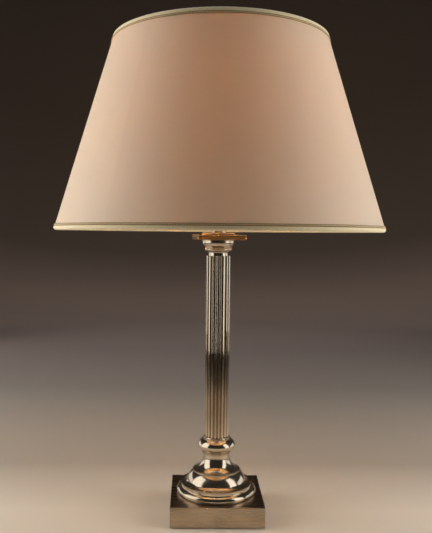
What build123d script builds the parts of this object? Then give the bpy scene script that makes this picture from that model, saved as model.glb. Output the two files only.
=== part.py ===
from build123d import *
import math
import os

# A table lamp in the form of a fluted column on a square plinth, with a conical fabric shade.
# Millimetres, +Z up.  The origin is the centre of the underside, where the felt meets the table.
# The lamp's front looks along -Y, the cord enters at the back (+Y).

# Clearances ---------------------------------------------------------------------------------------
FIT = 0.2  # radial, spigots and bores of pieces that stay put
RUNNING = 0.3  # radial, between pieces that turn on each other
CRACK = 0.25  # between pieces that are glued, taped or fused together

# Threaded tube that holds the stand together ------------------------------------------------------
TUBE_R = 5.0
TUBE_BORE_R = 4.0
TUBE_END = 1.5  # thread left standing below the nut and above the locknut
TUBE_HOLE_R = TUBE_R + FIT

# Plinth, its weight and its underside -------------------------------------------------------------
FELT_T = 1.0
FELT_INSET = 2.0
PLATE_T = 1.5
PLATE_CLEARANCE = 0.3
PLINTH_SIDE = 126.0
PLINTH_H = 27.4
PLINTH_WALL = 3.0
PLINTH_TOP_T = 3.0
PLINTH_EDGE = 0.5
POST_SIDE = 9.0
SCREW_R = 2.0
SCREW_HEAD_R = 3.6
SCREW_HEAD_T = 1.2
SCREW_L = 10.0
WEIGHT_R = 54.0
WEIGHT_T = 8.0
WASHER_R = 15.0
WASHER_T = 1.5
NUT_FLATS = 17.0
NUT_T = 4.0

# Cord bush in the back wall -----------------------------------------------------------------------
BUSH_Z = 9.6
BUSH_BORE_R = 3.3
BUSH_BODY_R = 4.6
BUSH_FLANGE_R = 6.0
BUSH_FLANGE_T = 2.0
BUSH_LIP_R = 5.4
BUSH_LIP_T = 1.5

# Turned foot: torus, flared cove, drum, neck and collar -------------------------------------------
FOOT_R = 55.4
FOOT_ROLL_R = 6.2
FOOT_ROLL_RISE = 3.2  # the roll's centre above the plinth
FOOT_FILLET_H = 5.1
FOOT_BORE_R = 43.0
SPIGOT_H = 3.0

DRUM_LOW_R = 48.6
DRUM_R = 41.0
DRUM_SHOULDER_R = 38.3  # halfway up the swelling side
DRUM_TOP_R = 32.9
DRUM_COVE_H = 3.6
DRUM_BULGE_H = 12.3
DRUM_FILLET_H = 1.6
DRUM_BORE_R = 30.0
DRUM_WEB_T = 5.0
DRUM_WEB_BORE_R = 24.0

NECK_LOW_R = 32.0
NECK_RIM_H = 0.7
NECK_R = 18.2
NECK_SWEEP_H = 19.0
NECK_TOP_H = 3.9
NECK_BORE_R = 13.2
NECK_WEB_T = 5.0
NECK_WEB_BORE_R = 11.5

COLLAR_R = 26.0
COLLAR_SHOULDER_R = 24.1  # halfway up the upper side
COLLAR_LIP_R = 19.6
COLLAR_LIP_H = 1.4
COLLAR_UNDER_H = 10.2
COLLAR_OVER_H = 8.0
COLLAR_STEP_R = 19.2
COLLAR_STEP_H = 1.0
BEAD_R = 18.4
BEAD_NECK_R = 17.8
BEAD_H = 2.2

# Fluted column ------------------------------------------------------------------------------------
COLUMN_R = 16.8
COLUMN_H = 252.2
COLUMN_WALL = 3.6
FLUTES = 20
FLUTE_FILLET = 1.1  # width of the flat left between two flutes
FLUTE_DEPTH = 1.45
COLUMN_SPIGOT_H = 6.0

# Capital, abacus and the disc and stem above it ---------------------------------------------------
NECKING_R = 13.6
NECKING_H = 3.6
NECKING_COVE_H = 3.0
ASTRAGAL_NECK_R = 17.0
ASTRAGAL_R = 19.2
ASTRAGAL_H = 5.2
ECHINUS_LOW_R = 17.5
ECHINUS_R = 22.3
ECHINUS_STEP_H = 0.4
ECHINUS_SWELL_H = 6.8
ECHINUS_BAND_H = 3.0
ABACUS_SIDE = 65.6
ABACUS_T = 6.7
ABACUS_EDGE = 0.5
ABACUS_TURN = 7.3  # degrees, the column's top is turned a little against the plinth
DISC_R = 23.4
DISC_T = 3.0
STEM_R = 11.2
STEM_H = 7.3

# Lampholder, Edison screw 27 ----------------------------------------------------------------------
HOLDER_R = 19.6
HOLDER_WALL = 1.0
CAP_BOSS_R = 8.0
CAP_BOSS_H = 4.0
CAP_DOME_R = 8.0
CAP_H = 28.0
CAP_LEDGE_W = 2.0
CAP_LEDGE_T = 1.8
LOCKNUT_FLATS = 14.0
LOCKNUT_T = 3.0
CORE_GAP = 1.0
CORE_T = 10.0
CORE_SLEEVE_R = 17.0
CORE_SLEEVE_WALL = 2.7
CORE_SLEEVE_H = 20.0
SHELL_R = 13.8
SHELL_WALL = 0.4
SHELL_H = 19.0
SHELL_HOLE_R = 8.0
CONTACT_R = 3.5
CONTACT_T = 2.5
TERMINAL_OFFSET = 10.0
TERMINAL_HEAD_R = 2.8
TERMINAL_HEAD_T = 2.2
TERMINAL_R = 1.5
TERMINAL_L = 6.0
SKIRT_H = 30.0
SKIRT_WALL = 1.6
SKIRT_SPIGOT_WALL = 0.6
SKIRT_LIP_T = 2.0
SEAT_R = 24.0
SEAT_T = 2.0
SEAT_Z = 12.0  # underside of the shade's seat above the skirt's lower edge

# Push-through switch bar --------------------------------------------------------------------------
BAR_R = 2.5
BAR_Z = 16.5  # bar's axis above the cap's lower end
BAR_KNOB_R = 3.6
BAR_KNOB_L = 4.0
BAR_KNOB_EDGE = 0.8
BAR_GAP = 2.0  # between cap and knob at the end of the travel
BAR_TRAVEL = 5.0

# Bulb, pear shape of 60 mm ------------------------------------------------------------------------
BULB_THREAD_R = 13.1
BULB_THREAD_H = 19.0
BULB_CAP_WALL = 0.5
BULB_COLLAR_R = 14.4
BULB_COLLAR_H = 5.5
BULB_COLLAR_RISE = 0.5
BULB_EYELET_R = 4.5
BULB_EYELET_T = 0.8
BULB_INSULATOR_H = 3.0
BULB_R = 30.0
BULB_NECK_R = 13.4
BULB_GLASS_T = 0.8
BULB_L = 105.0
BULB_SHOULDER = 28.0  # degrees below the widest point where the round crown ends
BULB_NECK_L = 6.0
BULB_STEM_R = 2.2
BULB_STEM_H = 34.0
BULB_PRESS_T = 2.0
FILAMENT_R = 10.0
FILAMENT_WIRE_R = 0.5
FILAMENT_ARC = 280.0  # degrees
LEAD_FOOT = 0.7  # how far out the leads start, as a share of the filament's radius
LEAD_RISE = 8.0

# Shade carrier ------------------------------------------------------------------------------------
HUB_R = 25.0
HUB_T = 1.6
HUB_BORE_R = HOLDER_R + RUNNING
SPOKES = 3
SPOKE_R = 1.5
SPOKE_ANGLE = 90.0
WIRE_R = 1.75
CLAMP_R = 22.6
CLAMP_H = 11.0
CLAMP_FLANGE_R = 27.0
CLAMP_FLANGE_T = 2.0
CLAMP_GRIPS = 24
CLAMP_GRIP_R = 1.0
CLAMP_GRIP_DEPTH = 0.5

# Shade --------------------------------------------------------------------------------------------
SHADE_LOW_R = 224.1
SHADE_TOP_R = 144.9
SHADE_H = 260.9
SHADE_T = 1.2
SHADE_DROP = 5.6  # the rim's lower edge below the lampholder's lower end
BINDING_T = 1.0
BINDING_H = 5.2
BRAID_W = 3.0
BRAID_T = 1.5

# Levels, each piece standing on the one below -----------------------------------------------------
PLINTH_TOP = FELT_T + PLINTH_H
FOOT_TOP = PLINTH_TOP + FOOT_ROLL_RISE + FOOT_ROLL_R + FOOT_FILLET_H
DRUM_TOP = FOOT_TOP + DRUM_COVE_H + DRUM_BULGE_H + DRUM_FILLET_H
NECK_TOP = DRUM_TOP + NECK_RIM_H + NECK_SWEEP_H + NECK_TOP_H
COLLAR_EDGE = NECK_TOP + COLLAR_LIP_H + COLLAR_UNDER_H
COLLAR_TOP = COLLAR_EDGE + COLLAR_OVER_H + COLLAR_STEP_H + BEAD_H
COLUMN_TOP = COLLAR_TOP + COLUMN_H
ECHINUS_TOP_H = ECHINUS_STEP_H + ECHINUS_SWELL_H + ECHINUS_BAND_H
CAPITAL_TOP = COLUMN_TOP + NECKING_H + NECKING_COVE_H + ASTRAGAL_H + ECHINUS_TOP_H
ABACUS_TOP = CAPITAL_TOP + ABACUS_T
DISC_TOP = ABACUS_TOP + DISC_T
HOLDER_LOW = DISC_TOP + STEM_H
SKIRT_LOW = HOLDER_LOW + CAP_H
SKIRT_TOP = SKIRT_LOW + SKIRT_H
SEAT_TOP = SKIRT_LOW + SEAT_Z + SEAT_T
CORE_LOW = SKIRT_LOW - CORE_T / 2
SHELL_LOW = CORE_LOW + CORE_T
CONTACT_TOP = SHELL_LOW + CONTACT_T
BULB_CAP_LOW = CONTACT_TOP + BULB_EYELET_T + BULB_INSULATOR_H
BULB_COLLAR_LOW = max(SKIRT_TOP + BULB_COLLAR_RISE, BULB_CAP_LOW + BULB_THREAD_H)
SHADE_LOW = HOLDER_LOW - SHADE_DROP
SHADE_TOP = SHADE_LOW + SHADE_H
WEIGHT_LOW = PLINTH_TOP - PLINTH_TOP_T - WEIGHT_T
NUT_LOW = WEIGHT_LOW - WASHER_T - NUT_T
LOCKNUT_LOW = HOLDER_LOW + CAP_BOSS_H + HOLDER_WALL
COLUMN_BORE_R = COLUMN_R - COLUMN_WALL
RIM_ROLL_R = (2 * WIRE_R + SHADE_T + 3 * CRACK) / 2  # inside of the tape folded round a rim


def turned(*edges):
    """Solid turned about the lamp's axis from a closed outline of edges in (radius, height)."""
    outline = make_face(Curve() + list(edges))
    return revolve(Plane.XZ * outline, Axis.Z)


def disc(radius, low, thickness, bore=0.0):
    """Flat round piece on the lamp's axis, with an optional hole."""
    solid = Pos(0, 0, low) * extrude(Circle(radius), thickness)
    if bore > 0:
        solid -= Pos(0, 0, low) * extrude(Circle(bore), thickness)
    return solid


def hexagon_nut(flats, low, thickness):
    """Hexagon nut on the threaded tube."""
    outline = RegularPolygon(flats / math.sqrt(3), 6) - Circle(TUBE_HOLE_R)
    return Pos(0, 0, low) * extrude(outline, thickness)


def shade_radius(height):
    """Outer radius of the shade's fabric at a height above its lower rim."""
    return SHADE_LOW_R + (SHADE_TOP_R - SHADE_LOW_R) * height / SHADE_H


# Base ---------------------------------------------------------------------------------------------
def post_centres():
    offset = PLINTH_SIDE / 2 - PLINTH_WALL - POST_SIDE / 2
    return [Location((x, y, 0)) for x in (-offset, offset) for y in (-offset, offset)]


def plinth():
    """Square box of cast brass, open below, with a post for a screw in each corner."""
    body = Pos(0, 0, FELT_T) * extrude(Rectangle(PLINTH_SIDE, PLINTH_SIDE), PLINTH_H)
    crisp = body.edges().filter_by(Axis.Z) + body.edges().group_by(Axis.Z)[-1]
    body = fillet(crisp, PLINTH_EDGE)
    inner = PLINTH_SIDE - 2 * PLINTH_WALL
    body -= Pos(0, 0, FELT_T) * extrude(Rectangle(inner, inner), PLINTH_H - PLINTH_TOP_T)
    post_low = FELT_T + PLATE_T
    post_h = PLINTH_TOP - PLINTH_TOP_T - post_low
    for centre in post_centres():
        body += centre * Pos(0, 0, post_low) * extrude(Rectangle(POST_SIDE, POST_SIDE), post_h)
        body -= centre * Pos(0, 0, post_low) * extrude(Circle(SCREW_R + FIT), SCREW_L)
    body -= disc(TUBE_HOLE_R, PLINTH_TOP - PLINTH_TOP_T, PLINTH_TOP_T)
    behind = Plane(origin=(0, PLINTH_SIDE / 2 + PLINTH_WALL, BUSH_Z), z_dir=(0, -1, 0))
    return body - behind * extrude(Circle(BUSH_BODY_R + FIT), 2 * PLINTH_WALL)


def base_plate():
    """Steel plate that closes the plinth from below, countersunk for its four screws."""
    side = PLINTH_SIDE - 2 * PLINTH_WALL - 2 * PLATE_CLEARANCE
    body = Pos(0, 0, FELT_T) * extrude(Rectangle(side, side), PLATE_T)
    for centre in post_centres():
        body -= centre * Pos(0, 0, FELT_T) * screw_hole()
    return body


def screw_outline(head_r, shank_r, length):
    """Countersunk screw standing head down on the origin."""
    head = Cone(head_r, shank_r, SCREW_HEAD_T, align=(Align.CENTER, Align.CENTER, Align.MIN))
    shank = Cylinder(shank_r, length, align=(Align.CENTER, Align.CENTER, Align.MIN))
    return head + shank


def screw_hole():
    return screw_outline(SCREW_HEAD_R + FIT, SCREW_R + FIT, SCREW_L)


def base_screws():
    """Four countersunk screws that hold the base plate to the plinth's posts."""
    screw = screw_outline(SCREW_HEAD_R, SCREW_R, SCREW_L)
    return Compound(children=[centre * Pos(0, 0, FELT_T) * screw for centre in post_centres()])


def felt_pad():
    """Thin square of felt glued over the base plate: the lamp rests on it."""
    side = PLINTH_SIDE - 2 * FELT_INSET
    return extrude(Rectangle(side, side), FELT_T)


def base_weight():
    """Cast iron disc under the plinth's top."""
    return disc(WEIGHT_R, WEIGHT_LOW, WEIGHT_T, TUBE_HOLE_R)


def base_washer():
    return disc(WASHER_R, WEIGHT_LOW - WASHER_T, WASHER_T, TUBE_HOLE_R)


def base_nut():
    return hexagon_nut(NUT_FLATS, NUT_LOW, NUT_T)


def cord_bush():
    """Flanged rubber bush in the back wall that the cord passes through."""
    wall_out = PLINTH_SIDE / 2
    wall_in = wall_out - PLINTH_WALL
    round_r = BUSH_FLANGE_T / 2
    edges = [
        Polyline(
            (BUSH_BORE_R, wall_out + BUSH_FLANGE_T),
            (BUSH_BORE_R, wall_in - BUSH_LIP_T),
            (BUSH_LIP_R, wall_in - BUSH_LIP_T),
            (BUSH_LIP_R, wall_in),
            (BUSH_BODY_R, wall_in),
            (BUSH_BODY_R, wall_out),
            (BUSH_FLANGE_R, wall_out),
            (BUSH_FLANGE_R, wall_out + round_r),
        ),
        CenterArc((BUSH_FLANGE_R - round_r, wall_out + round_r), round_r, 0, 90),
        Line(
            (BUSH_FLANGE_R - round_r, wall_out + BUSH_FLANGE_T), (BUSH_BORE_R, wall_out + BUSH_FLANGE_T)
        ),
    ]
    return Pos(0, 0, BUSH_Z) * Rot(-90, 0, 0) * turned(*edges)


def threaded_tube():
    """Hollow threaded tube from the nut under the weight up into the lampholder."""
    low = NUT_LOW - TUBE_END
    high = LOCKNUT_LOW + LOCKNUT_T + TUBE_END
    return disc(TUBE_R, low, high - low, TUBE_BORE_R)


# Turned foot --------------------------------------------------------------------------------------
def foot_ring():
    """Bold torus that stands on the plinth below its widest line, with a fillet above it."""
    low = PLINTH_TOP
    roll = FOOT_R - FOOT_ROLL_R
    roll_middle = low + FOOT_ROLL_RISE
    roll_top = roll_middle + FOOT_ROLL_R
    standing_r = roll + math.sqrt(FOOT_ROLL_R**2 - FOOT_ROLL_RISE**2)
    edges = [
        Polyline((FOOT_BORE_R, low), (standing_r, low)),
        ThreePointArc((standing_r, low), (FOOT_R, roll_middle), (roll, roll_top)),
        Polyline((roll, roll_top), (roll, FOOT_TOP), (FOOT_BORE_R, FOOT_TOP), (FOOT_BORE_R, low)),
    ]
    return turned(*edges)


def base_drum():
    """Flared cove under a swelling drum, hollow, located in the foot ring by a spigot."""
    low = FOOT_TOP
    cove_top = low + DRUM_COVE_H
    shoulder = cove_top + DRUM_BULGE_H / 2
    bulge_top = cove_top + DRUM_BULGE_H
    edges = [
        TangentArc((DRUM_LOW_R, low), (DRUM_R, cove_top), tangent=(-1, 0)),
        ThreePointArc((DRUM_R, cove_top), (DRUM_SHOULDER_R, shoulder), (DRUM_TOP_R, bulge_top)),
        Polyline(
            (DRUM_TOP_R, bulge_top),
            (DRUM_TOP_R, DRUM_TOP),
            (DRUM_WEB_BORE_R, DRUM_TOP),
            (DRUM_WEB_BORE_R, DRUM_TOP - DRUM_WEB_T),
            (DRUM_BORE_R, DRUM_TOP - DRUM_WEB_T),
            (DRUM_BORE_R, low - SPIGOT_H),
            (FOOT_BORE_R - FIT, low - SPIGOT_H),
            (FOOT_BORE_R - FIT, low),
            (DRUM_LOW_R, low),
        ),
    ]
    return turned(*edges)


def base_neck():
    """Trumpet-shaped neck that sweeps in from the drum to the collar."""
    low = DRUM_TOP
    sweep_low = low + NECK_RIM_H
    sweep_top = sweep_low + NECK_SWEEP_H
    edges = [
        Polyline((NECK_LOW_R, low), (NECK_LOW_R, sweep_low)),
        TangentArc((NECK_R, sweep_top), (NECK_LOW_R, sweep_low), tangent=(0, -1)),
        Polyline(
            (NECK_R, sweep_top),
            (NECK_R, NECK_TOP),
            (NECK_WEB_BORE_R, NECK_TOP),
            (NECK_WEB_BORE_R, NECK_TOP - NECK_WEB_T),
            (NECK_BORE_R, NECK_TOP - NECK_WEB_T),
            (NECK_BORE_R, low - SPIGOT_H),
            (DRUM_WEB_BORE_R - FIT, low - SPIGOT_H),
            (DRUM_WEB_BORE_R - FIT, low),
            (NECK_LOW_R, low),
        ),
    ]
    return turned(*edges)


def collar_ring():
    """Heavy collar with a soft edge and a bead on top, spigoted into the neck and the column."""
    low = NECK_TOP
    roll_low = low + COLLAR_LIP_H
    shoulder = COLLAR_EDGE + COLLAR_OVER_H / 2
    roll_top = COLLAR_EDGE + COLLAR_OVER_H
    bead_low = roll_top + COLLAR_STEP_H
    spigot_top = COLLAR_TOP + COLUMN_SPIGOT_H
    edges = [
        Polyline((COLLAR_LIP_R, low), (COLLAR_LIP_R, roll_low)),
        TangentArc((COLLAR_R, COLLAR_EDGE), (COLLAR_LIP_R, roll_low), tangent=(0, -1)),
        ThreePointArc((COLLAR_R, COLLAR_EDGE), (COLLAR_SHOULDER_R, shoulder), (COLLAR_LIP_R, roll_top)),
        Polyline(
            (COLLAR_LIP_R, roll_top),
            (COLLAR_STEP_R, roll_top),
            (COLLAR_STEP_R, bead_low),
            (BEAD_NECK_R, bead_low),
        ),
        ThreePointArc(
            (BEAD_NECK_R, bead_low), (BEAD_R, bead_low + BEAD_H / 2), (BEAD_NECK_R, COLLAR_TOP)
        ),
        Polyline(
            (BEAD_NECK_R, COLLAR_TOP),
            (COLUMN_BORE_R - FIT, COLLAR_TOP),
            (COLUMN_BORE_R - FIT, spigot_top),
            (TUBE_HOLE_R, spigot_top),
            (TUBE_HOLE_R, low - SPIGOT_H),
            (NECK_WEB_BORE_R - FIT, low - SPIGOT_H),
            (NECK_WEB_BORE_R - FIT, low),
            (COLLAR_LIP_R, low),
        ),
    ]
    return turned(*edges)


# Column and capital -------------------------------------------------------------------------------
def column_shaft():
    """Brass tube with hollow flutes all round, narrow flats between them."""
    pitch = 2 * math.pi * COLUMN_R / FLUTES
    half_width = (pitch - FLUTE_FILLET) / 2
    flute_r = (half_width**2 + FLUTE_DEPTH**2) / (2 * FLUTE_DEPTH)
    flute_centre = COLUMN_R - FLUTE_DEPTH + flute_r
    section = Circle(COLUMN_R) - PolarLocations(flute_centre, FLUTES) * Circle(flute_r)
    section -= Circle(COLUMN_BORE_R)
    return Pos(0, 0, COLLAR_TOP) * extrude(section, COLUMN_H)


def capital():
    """Necking, astragal and echinus turned in one piece, spigoted into the column."""
    necking_top = COLUMN_TOP + NECKING_H
    astragal_low = necking_top + NECKING_COVE_H
    astragal_top = astragal_low + ASTRAGAL_H
    swell_low = astragal_top + ECHINUS_STEP_H
    swell_top = swell_low + ECHINUS_SWELL_H
    spigot_low = COLUMN_TOP - COLUMN_SPIGOT_H
    edges = [
        Polyline(
            (TUBE_HOLE_R, spigot_low),
            (COLUMN_BORE_R - FIT, spigot_low),
            (COLUMN_BORE_R - FIT, COLUMN_TOP),
            (NECKING_R, COLUMN_TOP),
            (NECKING_R, necking_top),
        ),
        TangentArc((NECKING_R, necking_top), (ASTRAGAL_NECK_R, astragal_low), tangent=(0, 1)),
        ThreePointArc(
            (ASTRAGAL_NECK_R, astragal_low),
            (ASTRAGAL_R, astragal_low + ASTRAGAL_H / 2),
            (ASTRAGAL_NECK_R, astragal_top),
        ),
        Polyline(
            (ASTRAGAL_NECK_R, astragal_top), (ECHINUS_LOW_R, astragal_top), (ECHINUS_LOW_R, swell_low)
        ),
        TangentArc((ECHINUS_R, swell_top), (ECHINUS_LOW_R, swell_low), tangent=(0, -1)),
        Polyline(
            (ECHINUS_R, swell_top),
            (ECHINUS_R, CAPITAL_TOP),
            (TUBE_HOLE_R, CAPITAL_TOP),
            (TUBE_HOLE_R, spigot_low),
        ),
    ]
    return turned(*edges)


def abacus():
    """Square plate on the capital, turned a little against the plinth."""
    body = extrude(Rectangle(ABACUS_SIDE, ABACUS_SIDE), ABACUS_T)
    body = chamfer(body.edges(), ABACUS_EDGE)
    body -= extrude(Circle(TUBE_HOLE_R), ABACUS_T)
    return Pos(0, 0, CAPITAL_TOP) * Rot(0, 0, ABACUS_TURN) * body


def holder_disc():
    """Round disc with a full round rim on the abacus."""
    rim = DISC_R - DISC_T / 2
    edges = [
        Polyline(
            (rim, DISC_TOP), (TUBE_HOLE_R, DISC_TOP), (TUBE_HOLE_R, ABACUS_TOP), (rim, ABACUS_TOP)
        ),
        ThreePointArc((rim, ABACUS_TOP), (DISC_R, ABACUS_TOP + DISC_T / 2), (rim, DISC_TOP)),
    ]
    return turned(*edges)


def holder_stem():
    """Short sleeve over the tube that carries the lampholder."""
    return disc(STEM_R, DISC_TOP, STEM_H, TUBE_HOLE_R)


# Lampholder ---------------------------------------------------------------------------------------
def holder_cap():
    """Domed lower half of the lampholder, with a ledge for the core and holes for the switch bar."""
    low = HOLDER_LOW
    boss_top = low + CAP_BOSS_H
    dome_top = boss_top + CAP_DOME_R
    dome_centre = (HOLDER_R - CAP_DOME_R, dome_top)
    floor = boss_top + HOLDER_WALL
    inner_r = HOLDER_R - HOLDER_WALL
    ledge_low = CORE_LOW - CAP_LEDGE_T
    edges = [
        Polyline(
            (dome_centre[0], floor),
            (TUBE_HOLE_R, floor),
            (TUBE_HOLE_R, low),
            (CAP_BOSS_R, low),
            (CAP_BOSS_R, boss_top),
            (dome_centre[0], boss_top),
        ),
        CenterArc(dome_centre, CAP_DOME_R, -90, 90),
        Polyline(
            (HOLDER_R, dome_top),
            (HOLDER_R, SKIRT_LOW),
            (inner_r, SKIRT_LOW),
            (inner_r, CORE_LOW),
            (inner_r - CAP_LEDGE_W, CORE_LOW),
            (inner_r - CAP_LEDGE_W, ledge_low),
            (inner_r, ledge_low),
            (inner_r, dome_top),
        ),
        CenterArc(dome_centre, CAP_DOME_R - HOLDER_WALL, -90, 90),
    ]
    across = Plane(origin=(0, 0, low + BAR_Z), z_dir=(1, 0, 0))
    hole = across * extrude(Circle(BAR_R + RUNNING), HOLDER_R + HOLDER_WALL, both=True)
    return turned(*edges) - hole


def holder_locknut():
    return hexagon_nut(LOCKNUT_FLATS, LOCKNUT_LOW, LOCKNUT_T)


def terminal_places():
    return [Location((0, y, 0)) for y in (-TERMINAL_OFFSET, TERMINAL_OFFSET)]


def holder_core():
    """Porcelain core with a sleeve round the screw shell and two holes for the terminal screws."""
    body = disc(HOLDER_R - HOLDER_WALL - CORE_GAP, CORE_LOW, CORE_T)
    sleeve_bore = CORE_SLEEVE_R - CORE_SLEEVE_WALL
    body += disc(CORE_SLEEVE_R, SHELL_LOW, CORE_SLEEVE_H, sleeve_bore)
    for place in terminal_places():
        body -= place * disc(TERMINAL_R + FIT, CORE_LOW, TERMINAL_L + FIT)
    return body


def screw_shell():
    """Threaded brass shell that the bulb screws into."""
    body = disc(SHELL_R, SHELL_LOW, SHELL_H, SHELL_R - SHELL_WALL)
    return body + disc(SHELL_R, SHELL_LOW, SHELL_WALL, SHELL_HOLE_R)


def centre_contact():
    return disc(CONTACT_R, SHELL_LOW, CONTACT_T)


def terminal_screws():
    """Two terminal screws in the core's underside."""
    head = disc(TERMINAL_HEAD_R, CORE_LOW - TERMINAL_HEAD_T, TERMINAL_HEAD_T)
    screw = head + disc(TERMINAL_R, CORE_LOW, TERMINAL_L)
    return Compound(children=[place * screw for place in terminal_places()])


def holder_skirt():
    """Upper half of the lampholder with the seat for the shade and a lip over the core."""
    inner_r = HOLDER_R - SKIRT_WALL
    spigot_r = HOLDER_R - HOLDER_WALL - FIT
    seat_low = SKIRT_LOW + SEAT_Z
    lip_r = BULB_COLLAR_R + RUNNING
    edges = Polyline(
        (HOLDER_R, SKIRT_LOW),
        (HOLDER_R, seat_low),
        (SEAT_R, seat_low),
        (SEAT_R, SEAT_TOP),
        (HOLDER_R, SEAT_TOP),
        (HOLDER_R, SKIRT_TOP),
        (lip_r, SKIRT_TOP),
        (lip_r, SKIRT_TOP - SKIRT_LIP_T),
        (inner_r, SKIRT_TOP - SKIRT_LIP_T),
        (inner_r, SKIRT_LOW),
        (spigot_r - SKIRT_SPIGOT_WALL, SKIRT_LOW),
        (spigot_r - SKIRT_SPIGOT_WALL, SKIRT_LOW - SPIGOT_H),
        (spigot_r, SKIRT_LOW - SPIGOT_H),
        (spigot_r, SKIRT_LOW),
        (HOLDER_R, SKIRT_LOW),
    )
    return turned(edges)


def switch_bar():
    """Bar that is pushed through the cap from either side, resting out on the -X side."""
    right = HOLDER_R + BAR_GAP
    left = HOLDER_R + BAR_GAP + BAR_TRAVEL
    along = Plane(origin=(-left, 0, HOLDER_LOW + BAR_Z), z_dir=(1, 0, 0))
    body = along * extrude(Circle(BAR_R), left + right)
    knob = extrude(Circle(BAR_KNOB_R), BAR_KNOB_L)
    knob = fillet(knob.edges(), BAR_KNOB_EDGE)
    body += Plane(origin=(right, 0, HOLDER_LOW + BAR_Z), z_dir=(1, 0, 0)) * knob
    body += Plane(origin=(-left, 0, HOLDER_LOW + BAR_Z), z_dir=(-1, 0, 0)) * knob
    return body


# Bulb ---------------------------------------------------------------------------------------------
def bulb_contact():
    return disc(BULB_EYELET_R, CONTACT_TOP, BULB_EYELET_T)


def bulb_insulator():
    """Black glass cone between the centre contact and the threaded cap."""
    low = CONTACT_TOP + BULB_EYELET_T
    top_r = BULB_THREAD_R - BULB_CAP_WALL
    edges = Polyline(
        (0, low), (BULB_EYELET_R, low), (top_r, BULB_CAP_LOW), (0, BULB_CAP_LOW), (0, low)
    )
    return turned(edges)


def bulb_cap():
    """Threaded metal cap with a wider collar round the glass."""
    collar_top = BULB_COLLAR_LOW + BULB_COLLAR_H
    inner_r = BULB_THREAD_R - BULB_CAP_WALL
    collar_in = BULB_COLLAR_R - BULB_CAP_WALL
    edges = Polyline(
        (inner_r, BULB_CAP_LOW),
        (BULB_THREAD_R, BULB_CAP_LOW),
        (BULB_THREAD_R, BULB_COLLAR_LOW),
        (BULB_COLLAR_R, BULB_COLLAR_LOW + BULB_COLLAR_RISE),
        (BULB_COLLAR_R, collar_top),
        (collar_in, collar_top),
        (collar_in, BULB_COLLAR_LOW + BULB_COLLAR_RISE),
        (inner_r, BULB_COLLAR_LOW),
        (inner_r, BULB_CAP_LOW),
    )
    return turned(edges)


def glass_edges(offset):
    """Outline of the bulb from its neck to its crown, drawn in by an offset."""
    neck_low = BULB_COLLAR_LOW + BULB_COLLAR_RISE
    neck_top = neck_low + BULB_NECK_L
    centre = CONTACT_TOP + BULB_L - BULB_R
    radius = BULB_R - offset
    neck_r = BULB_NECK_R - offset
    crown = CenterArc((0, centre), radius, 90, -90 - BULB_SHOULDER)
    shoulder = TangentArc(crown @ 1, (neck_r, neck_top), tangent=crown % 1)
    neck = Line((neck_r, neck_top), (neck_r, neck_low))
    return [crown, shoulder, neck]


def bulb_glass():
    """Pear-shaped glass envelope, open at the neck where the cap holds it."""
    outer = glass_edges(0)
    inner = glass_edges(BULB_GLASS_T)
    rim = Line(outer[-1] @ 1, inner[-1] @ 1)
    crown = Line(outer[0] @ 0, inner[0] @ 0)
    return turned(*outer, *inner, rim, crown)


def bulb_stem():
    """Glass press in the neck with a rod that carries the filament."""
    low = BULB_COLLAR_LOW + BULB_COLLAR_RISE
    press_r = BULB_NECK_R - BULB_GLASS_T - CRACK
    return disc(press_r, low, BULB_PRESS_T) + disc(BULB_STEM_R, low, BULB_STEM_H)


def bulb_filament():
    """Open loop of filament round the rod, on two leads that rise from the press."""
    press_top = BULB_COLLAR_LOW + BULB_COLLAR_RISE + BULB_PRESS_T
    high = BULB_COLLAR_LOW + BULB_COLLAR_RISE + BULB_STEM_H + LEAD_RISE
    half = math.radians(FILAMENT_ARC / 2)
    start = Vector(FILAMENT_R * math.cos(half), -FILAMENT_R * math.sin(half), high)
    middle = Vector(FILAMENT_R, 0, high)
    end = Vector(FILAMENT_R * math.cos(half), FILAMENT_R * math.sin(half), high)
    loop = ThreePointArc(start, middle, end)
    body = sweep(Plane(origin=start, z_dir=loop % 0) * Circle(FILAMENT_WIRE_R), loop)
    for point in (start, end):
        foot = Vector(point.X * LEAD_FOOT, point.Y * LEAD_FOOT, press_top)
        rise = Vector(point.X, point.Y, high + FILAMENT_WIRE_R)
        lead = Line(foot, rise)
        body += sweep(Plane(origin=foot, z_dir=lead % 0) * Circle(FILAMENT_WIRE_R), lead)
    return body - bulb_stem()


# Shade --------------------------------------------------------------------------------------------
def wire_place(height, low_side):
    """Radius and level of the centre of a rim's wire."""
    inset = BINDING_T + RIM_ROLL_R
    level = height + inset if low_side else height - inset
    radius = shade_radius(level - SHADE_LOW) - SHADE_T - CRACK - WIRE_R
    return radius, level


def rim_wire(height, low_side):
    radius, level = wire_place(height, low_side)
    return Pos(0, 0, level) * Torus(radius, WIRE_R)


def shade_hub():
    """Flat ring that drops over the lampholder onto its seat."""
    return disc(HUB_R, SEAT_TOP, HUB_T, HUB_BORE_R)


def spoke_turns():
    return [Rot(0, 0, SPOKE_ANGLE + index * 360 / SPOKES) for index in range(SPOKES)]


def spoke_rod(radius):
    """Round rod along +X from the hub's edge down to the lower wire's centre."""
    ring_r, ring_z = wire_place(SHADE_LOW, True)
    inner = Vector(HUB_R - SPOKE_R, 0, SEAT_TOP + HUB_T - SPOKE_R - 2 * RUNNING)
    run = Vector(ring_r, 0, ring_z) - inner
    return Plane(origin=inner, z_dir=run) * extrude(Circle(radius), run.length)


def shade_spokes():
    """Rods from the hub down to the lower wire ring."""
    spoke = spoke_rod(SPOKE_R) - rim_wire(SHADE_LOW, True)
    spoke -= disc(HUB_R, SEAT_TOP - 2 * SPOKE_R, HUB_T + 4 * SPOKE_R)
    return Compound(children=[turn * spoke for turn in spoke_turns()])


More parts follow.
